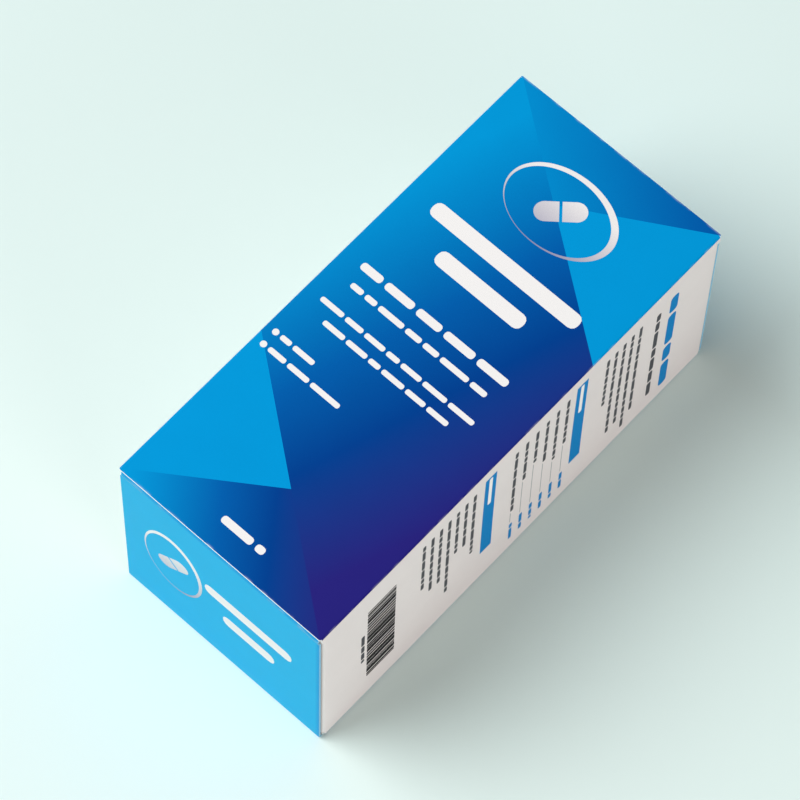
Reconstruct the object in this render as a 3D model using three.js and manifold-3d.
// A tuck-end folding carton for a 100 ml syrup bottle, lying on its back panel, with the bottle,
// its cap, a dosing cup and a folded leaflet inside. Millimetres, +Z up.
// The origin is the middle of the back panel's outer face. +X points to the right side panel,
// +Y to the top end of the carton and +Z out of the front panel.
import * as THREE from "three";
import { mergeVertices } from "three/addons/utils/BufferGeometryUtils.js";
import Module from "manifold-3d";

const wasm = await Module();
wasm.setup();

// Carton, outside sizes
const cartonWidth = 50;
const cartonDepth = 50;
const cartonLength = 110;
const board = 0.45; // thickness of the folding board
const foldRadius = 0.6; // outside radius of a creased fold
const gap = 0.3; // clearance between pieces that lie on each other

// Closing flaps
const lidInset = 0.4; // a lid is cut this much narrower than the carton on each side
const lidCornerRadius = 1.2;
const tuckLength = 12;
const tuckCornerRadius = 8;
const slitLength = 5.5; // cut at each end of the tuck fold, where the lid locks
const dustFlapLength = 21.5;
const dustFlapShoulder = 6.5; // straight part of its edge, next to the side panel
const dustFlapRise = 1; // its lower edge starts this high above the back panel's outer face
const dustFlapTaper = 4.5; // how much its free end narrows towards the back panel
const dustFlapTuckTaper = 7; // how much its free end narrows towards the tuck flap
const dustFlapCornerRadius = 1.5;
const panelCornerRadius = 1.2; // corners of the front panel's cut ends
const glueFlapWidth = 13;
const glueFlapSetback = 2.5; // shorter than the side panel at each end
const glueFlapTaper = 2.5;

// Leaflet, a zigzag of paper panels
const leafletThickness = 2.2;
const leafletWidth = 40;
const leafletLength = 80;
const leafletPanels = 8;
const leafletPaper = 0.18;
const leafletShift = -8; // its middle lies this far from the carton's middle, towards the bottom end

// Bottle, along its axis
const glassWall = 2;
const glassBase = 3;
const heelRadius = 2.5;
const puntRadius = 17;
const puntDepth = 0.9;
const labelRecess = 0.6;
const labelMargin = 5; // bare glass left above and below the label recess
const shoulderHeight = 12;
const neckRadius = 12.2;
const neckBore = 9;
const finishHeight = 17.5; // neck above the shoulder
const neckBeadRadius = 13.4;
const neckBeadHeight = 1.5;
const neckBeadRise = 3; // from the shoulder to the bead
const neckBeadChamfer = 0.4;
const lipRounding = 0.6;

// Label
const labelThickness = 0.2;
const labelHeight = 46;
const labelSweep = THREE.MathUtils.degToRad(320);

// Syrup, drawn as it lies in the bottle on its side
const syrupLevel = 15.5; // free surface above the bottle's axis

// Screw cap
const capWall = 1.1;
const capTop = 1.5;
const capRibs = 36;
const capRibHeight = 0.4;
const capBandHeight = 4.2; // tamper band at the open end
const capScoreDepth = 0.35;
const capScoreWidth = 0.6;
const capEdgeRounding = 0.8;
const capRibMargin = 0.6; // plain skirt left at both ends of the ribs
const capSkirtRise = 1; // the cap's open end stays this far below the neck bead
const linerThickness = 1;

// Dosing cup, turned over on the cap
const cupWall = 1;
const cupFloor = 1.2;
const cupHeadroom = 4.6; // free space between the cap and the cup's floor
const cupFlare = 2; // the mouth is this much wider in radius than the floor
const cupRim = 0.7; // bead round the mouth
const cupRimHeight = 1.6;
const cupClearance = 0.6; // round the cap, at the floor
const cupInsideChamfer = 0.5;
const cupEdgeRounding = 1;

const roundSegments = 40;
const foldSegments = 4;

// Places that several pieces share
const halfWidth = cartonWidth / 2;
const halfLength = cartonLength / 2;
const innerHalfWidth = halfWidth - board;
const frontInside = cartonDepth - board;
const flapPlane = halfLength - board - gap; // outside of the dust flaps
const flapInside = flapPlane - board;
const foldLine = flapPlane - foldRadius; // where the side panels start to fold in
const hinge = { y: halfLength - board / 2, z: board / 2 }; // centre of a lid's crease
const tuckOuter = frontInside - gap - hinge.z; // the tuck flap is bowed about the crease
const tuckInner = tuckOuter - board;

// A closed outline from a list of [u, v] points
function outline(points) {
  return new THREE.Shape(points.map(([u, v]) => new THREE.Vector2(u, v)));
}

// Points of an arc about [u, v], from one angle to another, in degrees
function arc(u, v, radius, from, to, steps = foldSegments) {
  return Array.from({ length: steps + 1 }, (_, i) => {
    const a = THREE.MathUtils.degToRad(from + ((to - from) * i) / steps);
    return [u + radius * Math.cos(a), v + radius * Math.sin(a)];
  });
}

// How an extruded outline lies: its u, its v and the way it is extruded
const LIES = {
  xy: [new THREE.Vector3(1, 0, 0), new THREE.Vector3(0, 1, 0), new THREE.Vector3(0, 0, 1)],
  xz: [new THREE.Vector3(1, 0, 0), new THREE.Vector3(0, 0, 1), new THREE.Vector3(0, -1, 0)],
  yz: [new THREE.Vector3(0, 1, 0), new THREE.Vector3(0, 0, 1), new THREE.Vector3(1, 0, 0)],
};

// An outline in one of the planes above, extruded from one coordinate to a higher one
function extrude(shape, plane, low, high) {
  const geometry = new THREE.ExtrudeGeometry(shape, { depth: high - low, bevelEnabled: false });
  geometry.applyMatrix4(new THREE.Matrix4().makeBasis(...LIES[plane]));
  const start = LIES[plane][2].clone().multiplyScalar(plane === "xz" ? -high : low);
  return geometry.translate(start.x, start.y, start.z);
}

function box(low, high) {
  const size = high.map((h, i) => h - low[i]);
  const middle = high.map((h, i) => (h + low[i]) / 2);
  return new THREE.BoxGeometry(...size).translate(...middle);
}

// A profile of [radius, height] points turned about the Y axis
function lathe(profile) {
  const points = profile.map(([r, y]) => new THREE.Vector2(Math.max(r, 0), y));
  return new THREE.LatheGeometry(points, roundSegments);
}

function solid(geometry) {
  const bare = geometry.clone();
  bare.deleteAttribute("normal");
  bare.deleteAttribute("uv");
  const merged = mergeVertices(bare, 1e-4);
  return new wasm.Manifold(
    new wasm.Mesh({
      numProp: 3,
      vertProperties: merged.attributes.position.array,
      triVerts: new Uint32Array(merged.index.array),
    }),
  );
}

function geometryOf(manifold) {
  const mesh = manifold.getMesh();
  const geometry = new THREE.BufferGeometry();
  geometry.setAttribute("position", new THREE.BufferAttribute(new Float32Array(mesh.vertProperties), 3));
  geometry.setIndex(new THREE.BufferAttribute(new Uint32Array(mesh.triVerts), 1));
  geometry.computeVertexNormals();
  return geometry;
}

function join(geometries) {
  return geometries.map(solid).reduce((all, next) => all.add(next));
}

function piece(name, geometry, material) {
  const mesh = new THREE.Mesh(geometry, material);
  mesh.name = name;
  return mesh;
}

const finishes = {
  printedBoard: new THREE.MeshStandardMaterial({ color: 0x0a6ab4, roughness: 0.45 }),
  lidBoard: new THREE.MeshStandardMaterial({ color: 0x2fb0e4, roughness: 0.45 }),
  amberGlass: new THREE.MeshStandardMaterial({
    color: 0x6b2f08,
    roughness: 0.08,
    transparent: true,
    opacity: 0.6,
  }),
  syrup: new THREE.MeshStandardMaterial({ color: 0x5a1c08, roughness: 0.15 }),
  labelPaper: new THREE.MeshStandardMaterial({ color: 0xf4f3ef, roughness: 0.6 }),
  capPlastic: new THREE.MeshStandardMaterial({ color: 0xf2f2f0, roughness: 0.35 }),
  linerFoam: new THREE.MeshStandardMaterial({ color: 0xe6e4dc, roughness: 0.8 }),
  cupPlastic: new THREE.MeshStandardMaterial({
    color: 0xe9eef0,
    roughness: 0.3,
    transparent: true,
    opacity: 0.7,
  }),
  leafletPaper: new THREE.MeshStandardMaterial({ color: 0xf7f6f1, roughness: 0.7 }),
};

// Section of the four panels. The back panel's cut edge shows at the lower left corner,
// under the fold that leads to the glue flap.
function sleeveSection() {
  const r = foldRadius;
  const inner = foldRadius - board;
  const fold = { right: halfWidth - r, top: cartonDepth - r, seam: board + r };
  const root = innerHalfWidth - 1; // start of the glue flap, along the whole length
  const section = outline([
    [-halfWidth, 0],
    ...arc(fold.right, r, r, -90, 0),
    ...arc(fold.right, fold.top, r, 0, 90),
    ...arc(-fold.right, fold.top, r, 90, 180),
    ...arc(-fold.right, fold.seam, r, 180, 270),
    [-halfWidth, board],
  ]);
  section.holes.push(
    new THREE.Path(
      [
        [-root, board],
        ...arc(fold.right, r, inner, -90, 0),
        ...arc(fold.right, fold.top, inner, 0, 90),
        ...arc(-fold.right, fold.top, inner, 90, 180),
        ...arc(-fold.right, fold.seam, inner, 180, 270),
        [-root, 2 * board],
      ].map(([u, v]) => new THREE.Vector2(u, v)),
    ),
  );
  return section;
}

// The end of a panel past the fold line, with rounded cut corners. end is 1 at the top, -1 at the bottom.
function panelEnd(end, reach, low, high) {
  const corner = Math.min(panelCornerRadius, reach - foldLine);
  const side = halfWidth - foldRadius;
  const start = foldLine - 1;
  const tab = [
    [side, start],
    ...arc(side - corner, reach - corner, corner, 0, 90),
    ...arc(-side + corner, reach - corner, corner, 90, 180),
    [-side, start],
  ];
  return extrude(outline(tab.map(([u, v]) => [u, v * end])), "xy", low, high);
}

function glueFlap() {
  const root = -halfWidth + foldRadius;
  const free = root + glueFlapWidth;
  const rootReach = foldLine - glueFlapSetback;
  const freeReach = rootReach - glueFlapTaper;
  const flat = outline([
    [root, -rootReach],
    [free, -freeReach],
    [free, freeReach],
    [root, rootReach],
  ]);
  return extrude(flat, "xy", board / 2, 2 * board);
}

// One dust flap with its fold. side is 1 at the right panel and -1 at the left.
function dustFlap(side, end) {
  const inner = foldRadius - board;
  const centre = [halfWidth - foldRadius, foldLine];
  const free = halfWidth - dustFlapLength;
  const wrap = [
    [halfWidth, foldLine - 1],
    ...arc(...centre, foldRadius, 0, 90),
    [free, flapPlane],
    [free, flapInside],
    ...arc(...centre, inner, 90, 0),
    [innerHalfWidth, foldLine - 1],
  ];
  const folded = extrude(outline(wrap.map(([u, v]) => [u * side, v * end])), "xy", 0, cartonDepth);
  // Its upper edge stays under the tuck flap as that swings past.
  const top = hinge.z + tuckInner - board;
  const shoulder = halfWidth - dustFlapShoulder;
  const round = dustFlapCornerRadius;
  const cut = [
    [halfWidth + 1, dustFlapRise],
    [shoulder, dustFlapRise],
    ...arc(free + round, dustFlapRise + dustFlapTaper + round, round, 270, 180),
    ...arc(free + round, top - dustFlapTuckTaper - round, round, 180, 90),
    [shoulder, top],
    [halfWidth + 1, top],
  ];
  const flat = extrude(outline(cut.map(([u, v]) => [u * side, v])), "xz", -cartonLength, cartonLength);
  return solid(folded).intersect(solid(flat));
}

function cartonBody() {
  const sleeve = [extrude(sleeveSection(), "xz", -foldLine, foldLine), glueFlap()];
  for (const end of [1, -1]) {
    sleeve.push(panelEnd(end, halfLength, frontInside, cartonDepth));
    sleeve.push(panelEnd(end, hinge.y - board / 2 - gap, 0, board));
  }
  let body = join(sleeve);
  for (const end of [1, -1]) {
    for (const side of [1, -1]) body = body.add(dustFlap(side, end));
  }
  return piece("carton_body", geometryOf(body), finishes.printedBoard);
}

// A lid about its own crease, closed, with the carton on its +Y side: the closing panel,
// the fold at its top and the bowed tuck flap.
function lidSolid() {
  const face = board / 2;
  const half = halfWidth - lidInset;
  const tuckHalf = innerHalfWidth - gap;
  const fold = { y: foldRadius - face, z: 0 };
  fold.z = Math.sqrt((tuckOuter - foldRadius) ** 2 - fold.y ** 2);
  const turned = THREE.MathUtils.radToDeg(Math.atan2(fold.z, fold.y));
  const tip = turned - THREE.MathUtils.radToDeg(tuckLength / tuckOuter);
  const bowSteps = 8;
  const tuckProfile = outline([
    [-face, fold.z - 1],
    [face, fold.z - 1],
    ...arc(fold.y, fold.z, foldRadius - board, 180, turned),
    ...arc(0, 0, tuckInner, turned, tip, bowSteps),
    ...arc(0, 0, tuckOuter, tip, turned, bowSteps),
    ...arc(fold.y, fold.z, foldRadius, turned, 180),
  ]);
  const reach = tuckOuter * Math.cos(THREE.MathUtils.degToRad(tip)) + 1;
  const corner = tuckCornerRadius;
  const tuckCut = outline([
    [-tuckHalf, -1],
    [tuckHalf, -1],
    ...arc(tuckHalf - corner, reach - 1 - corner, corner, 0, 90, 8),
    ...arc(-tuckHalf + corner, reach - 1 - corner, corner, 90, 180, 8),
  ]);
  const tuck = solid(extrude(tuckProfile, "yz", -half, half)).intersect(
    solid(extrude(tuckCut, "xy", 0, cartonDepth)),
  );
  const panelProfile = outline([
    ...arc(0, 0, face, 180, 360),
    [face, fold.z],
    [-face, fold.z],
  ]);
  const r = lidCornerRadius;
  const panelCut = outline([
    ...arc(half - r, r - face, r, -90, 0),
    ...arc(half - r, fold.z - r, r, 0, 90),
    ...arc(-half + r, fold.z - r, r, 90, 180),
    ...arc(-half + r, r - face, r, 180, 270),
  ]);
  const panel = solid(extrude(panelProfile, "yz", -half, half)).intersect(
    solid(extrude(panelCut, "xz", -1, 1)),
  );
  let lid = panel.add(tuck);
  for (const side of [1, -1]) {
    const from = side > 0 ? half - slitLength : -half - 1;
    const slit = box([from, -1, fold.z], [from + slitLength + 1, face + gap, cartonDepth]);
    lid = lid.subtract(solid(slit));
  }
  return lid;
}

function lid(name, end) {
  const mesh = piece(name, geometryOf(lidSolid()), finishes.lidBoard);
  mesh.position.set(0, end * hinge.y, hinge.z);
  if (end > 0) mesh.rotation.z = Math.PI;
  return mesh;
}

// Bottle sizes that follow from the carton: it fills the width beside the leaflet
const bottleByWidth = (2 * innerHalfWidth - leafletThickness - 3 * gap) / 2;
const tuckTip = hinge.z + Math.sqrt(tuckInner ** 2 - tuckLength ** 2);
const bottleByDepth = (tuckTip - board - 2 * gap) / 2;
const bottleRadius = Math.min(bottleByWidth, bottleByDepth);
const bottleCentre = { x: -innerHalfWidth + gap + bottleRadius, z: board + gap + bottleRadius };

// Heights along the bottle's axis, from its base
const packLength = 2 * (flapInside - gap);
const cupTopHeight = packLength;
const capTopHeight = cupTopHeight - cupFloor - cupHeadroom;
const linerTop = capTopHeight - capTop - gap;
const lipHeight = linerTop - linerThickness - gap;
const shoulderTop = lipHeight - finishHeight;
const shoulderStart = shoulderTop - shoulderHeight;
const labelMiddle = (heelRadius + shoulderStart) / 2;
const beadLow = shoulderTop + neckBeadRise;
const beadHigh = beadLow + neckBeadHeight;
const capOpenHeight = beadLow - capSkirtRise;
const capBore = neckBeadRadius + gap;
const capRadius = capBore + capWall;

// Quarter ellipse from the body to the neck, from its foot up. wall is how far it lies inside the glass.
function shoulderCurve(wall, neck, steps) {
  const width = bottleRadius - wall - neck;
  return Array.from({ length: steps + 1 }, (_, i) => {
    const a = (Math.PI / 2) * (i / steps);
    return [neck + width * Math.cos(a), shoulderStart + (shoulderHeight - wall / 2) * Math.sin(a)];
  });
}

function bottleInside(clearance) {
  const floor = glassBase + clearance;
  const radius = bottleRadius - glassWall - clearance;
  const bore = neckBore - clearance;
  return { floor, radius, bore, curve: shoulderCurve(glassWall + clearance, bore, 8) };
}

function bottle() {
  const recess = bottleRadius - labelRecess;
  const lowLabel = heelRadius + labelMargin;
  const highLabel = shoulderStart - labelMargin;
  const inside = bottleInside(0);
  const profile = [
    [0, puntDepth],
    [puntRadius * 0.7, puntDepth * 0.8],
    [puntRadius, 0],
    ...arc(bottleRadius - heelRadius, heelRadius, heelRadius, -90, 0),
    [bottleRadius, lowLabel],
    [recess, lowLabel + labelRecess],
    [recess, highLabel - labelRecess],
    [bottleRadius, highLabel],
    ...shoulderCurve(0, neckRadius, 10),
    [neckRadius, beadLow],
    [neckBeadRadius, beadLow + neckBeadChamfer],
    [neckBeadRadius, beadHigh - neckBeadChamfer],
    [neckRadius, beadHigh],
    ...arc(neckRadius - lipRounding, lipHeight - lipRounding, lipRounding, 0, 90, 2),
    [inside.bore, lipHeight],
    ...inside.curve.reverse(),
    [inside.radius, inside.floor + heelRadius],
    [inside.radius - heelRadius, inside.floor],
    [0, inside.floor],
  ];
  return piece("bottle", lathe(profile), finishes.amberGlass);
}

function syrup() {
  const inside = bottleInside(gap);
  const filled = solid(
    lathe([
      [0, inside.floor],
      [inside.radius - heelRadius, inside.floor],
      [inside.radius, inside.floor + heelRadius],
      ...inside.curve,
      [inside.bore, lipHeight - gap],
      [0, lipHeight - gap],
    ]),
  );
  const air = box([-bottleRadius, -1, syrupLevel], [bottleRadius, packLength, bottleRadius]);
  return piece("syrup", geometryOf(filled.subtract(solid(air))), finishes.syrup);
}

function label() {
  const inner = bottleRadius - labelRecess + gap;
  const outer = inner + labelThickness;
  const steps = 40;
  const half = THREE.MathUtils.radToDeg(labelSweep / 2);
  const wrap = outline([
    ...arc(0, 0, outer, 90 - half, 90 + half, steps),
    ...arc(0, 0, inner, 90 + half, 90 - half, steps),
  ]);
  const height = Math.min(labelHeight, shoulderStart - heelRadius - 2 * labelMargin - 2 * labelRecess - 2);
  const low = labelMiddle - height / 2;
  return piece("bottle_label", extrude(wrap, "xz", low, low + height), finishes.labelPaper);
}

// Grip ribs round the cap's skirt, as a toothed ring from one height to another
function gripRibs(low, high) {
  const pitch = 360 / capRibs;
  const teeth = [];
  for (let i = 0; i < capRibs; i += 1) {
    const a = i * pitch;
    teeth.push(...arc(0, 0, capRadius, a, a + pitch * 0.4, 1));
    teeth.push(...arc(0, 0, capRadius + capRibHeight, a + pitch * 0.5, a + pitch * 0.9, 1));
  }
  const ring = outline(teeth);
  const bore = arc(0, 0, capRadius - capWall / 2, 0, 360 - 360 / roundSegments, roundSegments - 1);
  ring.holes.push(new THREE.Path(bore.map(([u, v]) => new THREE.Vector2(u, v))));
  return extrude(ring, "xz", low, high);
}

function screwCap() {
  const score = capOpenHeight + capBandHeight;
  const under = capTopHeight - capTop;
  const shell = lathe([
    [0, under],
    [capBore, under],
    [capBore, capOpenHeight],
    [capRadius, capOpenHeight],
    [capRadius, score],
    [capRadius - capScoreDepth, score + capScoreWidth / 3],
    [capRadius - capScoreDepth, score + (capScoreWidth * 2) / 3],
    [capRadius, score + capScoreWidth],
    ...arc(capRadius - capEdgeRounding, capTopHeight - capEdgeRounding, capEdgeRounding, 0, 90, 3),
    [0, capTopHeight],
  ]);
  const ribs = gripRibs(score + capScoreWidth + capRibMargin, capTopHeight - capEdgeRounding - capRibMargin);
  return piece("screw_cap", geometryOf(join([shell, ribs])), finishes.capPlastic);
}

function capLiner() {
  const disc = lathe([
    [0, linerTop - linerThickness],
    [capBore - gap, linerTop - linerThickness],
    [capBore - gap, linerTop],
    [0, linerTop],
  ]);
  return piece("cap_liner", disc, finishes.linerFoam);
}

function dosingCup() {
  const floorRadius = capRadius + capRibHeight + cupClearance;
  const mouth = floorRadius + cupFlare;
  // The mouth comes down over the shoulder as far as the glass lets it.
  const across = (mouth - neckRadius) / (bottleRadius - neckRadius);
  const rim = shoulderStart + shoulderHeight * Math.sqrt(1 - across ** 2) + gap;
  const inside = cupTopHeight - cupFloor;
  const floorOutside = floorRadius + cupWall;
  const profile = [
    [0, inside],
    [floorRadius - cupInsideChamfer, inside],
    [floorRadius, inside - cupInsideChamfer],
    [mouth, rim],
    [mouth + cupWall + cupRim, rim],
    [mouth + cupWall + cupRim, rim + cupRimHeight],
    [mouth + cupWall, rim + cupRimHeight + cupRim],
    ...arc(floorOutside - cupEdgeRounding, cupTopHeight - cupEdgeRounding, cupEdgeRounding, 0, 90, 3),
    [0, cupTopHeight],
  ];
  return piece("dosing_cup", lathe(profile), finishes.cupPlastic);
}

// The leaflet stands on a long edge between the bottle and the right side panel.
function leaflet() {
  const pitch = (leafletThickness - leafletPaper) / (leafletPanels - 1);
  const slack = pitch - leafletPaper;
  const bend = (pitch + leafletPaper) / 2;
  const low = bend;
  const high = leafletWidth - bend;
  const x = (i) => i * pitch;
  // Up one face of the paper through every fold, then back down the other
  const there = [];
  const back = [];
  for (let i = 0; i < leafletPanels; i += 1) {
    const left = [x(i), x(i) + leafletPaper];
    const rising = i % 2 === 0;
    const [from, to] = rising ? [low, high] : [high, low];
    const near = i === 0 ? (rising ? 0 : leafletWidth) : from;
    const far = i === leafletPanels - 1 ? (rising ? leafletWidth : 0) : to;
    there.push([left[rising ? 0 : 1], near], [left[rising ? 0 : 1], far]);
    back.push([left[rising ? 1 : 0], near], [left[rising ? 1 : 0], far]);
    if (i === leafletPanels - 1) continue;
    const middle = x(i) + leafletPaper + slack / 2;
    const outer = slack / 2 + leafletPaper;
    const turn = rising ? [180, 0] : [180, 360];
    const outside = arc(middle, to, outer, ...turn, 4).slice(1, -1);
    const inside = arc(middle, to, slack / 2, ...turn, 4).slice(1, -1);
    there.push(...(rising ? outside : inside));
    back.push(...(rising ? inside : outside));
  }
  return extrude(outline([...there, ...back.reverse()]), "xz", 0, leafletLength);
}

function leafletMesh() {
  const mesh = piece("leaflet", leaflet(), finishes.leafletPaper);
  mesh.position.set(innerHalfWidth - gap - leafletThickness, leafletShift - leafletLength / 2, board + gap);
  return mesh;
}

function contents() {
  const group = new THREE.Group();
  group.position.set(bottleCentre.x, -flapInside + gap, bottleCentre.z);
  group.add(bottle(), syrup(), label(), screwCap(), capLiner(), dosingCup());
  return group;
}

const carton = new THREE.Group();
carton.add(cartonBody(), lid("bottom_lid", -1), lid("top_lid", 1), contents(), leafletMesh());

export default carton;
